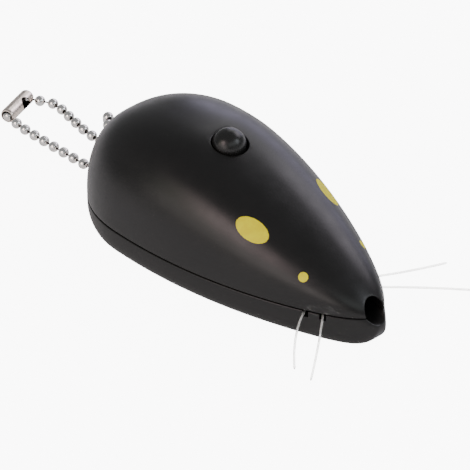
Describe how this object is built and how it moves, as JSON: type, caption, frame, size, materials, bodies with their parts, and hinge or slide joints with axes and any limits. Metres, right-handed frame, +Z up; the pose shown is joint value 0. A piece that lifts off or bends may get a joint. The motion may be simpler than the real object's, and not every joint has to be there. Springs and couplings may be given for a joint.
{
  "type": "mouse cat toy",
  "caption": "Mouse-shaped cat toy in two plastic shells with a light in the nose, a push button on the back, clear whiskers and a looped ball-chain tail.",
  "frame": {"origin": "centre of the flat underside, 46 mm ahead of the body's tail end", "axes": "+X towards the nose, +Y to the mouse's left, +Z up"},
  "size_m": [0.1257, 0.0468, 0.0309],
  "materials": {
    "charcoal_plastic": "satin charcoal moulding with yellow ear and eye print",
    "button_black": "polished black",
    "moulded_black": "black moulding",
    "white_plastic": "natural white",
    "screw_steel": "zinc-plated steel",
    "contact_metal": "nickel-plated steel",
    "board_green": "green solder mask",
    "resistor_tan": "tan lacquer",
    "clear_lens": "clear",
    "red_diode": "red tinted resin",
    "red_sheath": "red wire sheath",
    "nylon": "clear monofilament",
    "nickel": "bright nickel plate"
  },
  "bodies": {
    "mouse": {"upper_shell": "charcoal_plastic", "lower_shell": "charcoal_plastic", "switch_body": "moulded_black", "light_housing": "moulded_black", "lead_wire_black": "moulded_black", "shell_screw_rear": "screw_steel", "shell_screw_left": "screw_steel", "shell_screw_right": "screw_steel", "board_screw": "screw_steel", "switch_dome": "contact_metal", "button_cell_1": "contact_metal", "button_cell_2": "contact_metal", "button_cell_3": "contact_metal", "negative_contact": "contact_metal", "positive_contact": "contact_metal", "battery_spring": "contact_metal", "circuit_board": "board_green", "resistor": "resistor_tan", "light_lens": "clear_lens", "light_diode": "red_diode", "lead_wire_red": "red_sheath", "whisker_right_rear": "nylon", "whisker_right_front": "nylon", "whisker_left_rear": "nylon", "whisker_left_front": "nylon"},
    "button": {"button_cap": "button_black"},
    "plunger": {"switch_plunger": "white_plastic"},
    "door": {"battery_door": "charcoal_plastic", "battery_door_screw": "screw_steel"},
    "chain_near": {"chain_link_06": "nickel", "chain_link_07": "nickel", "chain_link_08": "nickel", "chain_link_09": "nickel", "chain_link_10": "nickel", "chain_link_11": "nickel", "chain_link_12": "nickel", "chain_link_13": "nickel", "chain_link_14": "nickel", "chain_link_15": "nickel", "chain_link_16": "nickel", "chain_link_17": "nickel", "chain_link_18": "nickel", "chain_link_19": "nickel", "chain_link_20": "nickel"},
    "chain_row_1": {"chain_link_05": "nickel", "chain_link_21": "nickel"},
    "chain_row_2": {"chain_link_04": "nickel", "chain_link_22": "nickel"},
    "chain_row_3": {"chain_link_03": "nickel", "chain_link_23": "nickel"},
    "chain_end": {"chain_link_01": "nickel", "chain_link_02": "nickel", "chain_link_24": "nickel", "chain_link_25": "nickel", "chain_link_26": "nickel", "chain_link_27": "nickel", "chain_connector": "nickel"}
  },
  "joints": [
    {"name": "button_press", "type": "slide", "parent": "mouse", "child": "button", "axis": [0, 0, -1], "range_m": [0, 0.0008], "stiffness_N_per_m": 500},
    {"name": "switch_travel", "type": "slide", "parent": "mouse", "child": "plunger", "axis": [0, 0, -1], "range_m": [0, 0.00056]},
    {"name": "battery_door_removal", "type": "slide", "parent": "mouse", "child": "door", "axis": [0, 0, -1], "range_m": [0, 0.008]},
    {"name": "chain_swing", "type": "hinge", "parent": "mouse", "child": "chain_near", "pos_m": [-0.0492, 0, 0.0061], "axis": [0, 0, 1], "range_deg": [-70, 70]},
    {"name": "chain_curl_1", "type": "hinge", "parent": "chain_near", "child": "chain_row_1", "pos_m": [-0.0649, 0.00183, 0.0012], "axis": [-0.0187, 0.9998, 0], "range_deg": [0, 20]},
    {"name": "chain_curl_2", "type": "hinge", "parent": "chain_row_1", "child": "chain_row_2", "pos_m": [-0.06802, 0.00201, 0.0012], "axis": [-0.0138, 0.9999, 0], "range_deg": [0, 20]},
    {"name": "chain_curl_3", "type": "hinge", "parent": "chain_row_2", "child": "chain_row_3", "pos_m": [-0.07113, 0.00225, 0.0012], "axis": [-0.0082, 1, 0], "range_deg": [0, 20]},
    {"name": "chain_curl_4", "type": "hinge", "parent": "chain_row_3", "child": "chain_end", "pos_m": [-0.07424, 0.00253, 0.0012], "axis": [-0.0028, 1, -0.0001], "range_deg": [0, 20]}
  ],
  "couplings": [
    {"joint": "switch_travel", "follows": "button_press", "ratio": 0.7}
  ]
}
